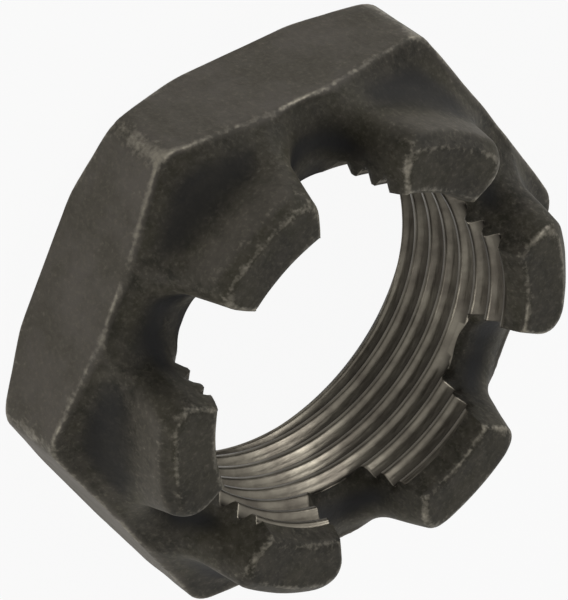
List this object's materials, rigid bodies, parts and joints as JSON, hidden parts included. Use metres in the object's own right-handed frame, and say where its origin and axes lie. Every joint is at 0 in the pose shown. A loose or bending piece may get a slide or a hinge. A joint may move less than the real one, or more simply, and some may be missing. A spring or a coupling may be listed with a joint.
{
  "type": "castle nut",
  "caption": "Thin hexagon castle nut with a slotted crown, threaded right through, for locking with a split pin.",
  "frame": {"origin": "centre of the bearing face, on the thread's axis", "axes": "+Z along the thread's axis towards the slotted crown, +X through a corner of the hexagon"},
  "size_m": [0.0524, 0.046, 0.0174],
  "materials": {
    "steel": "dark forged steel with a dull oiled scale, bright cut thread"
  },
  "bodies": {
    "root": {"castle_nut": "steel"}
  },
  "joints": []
}
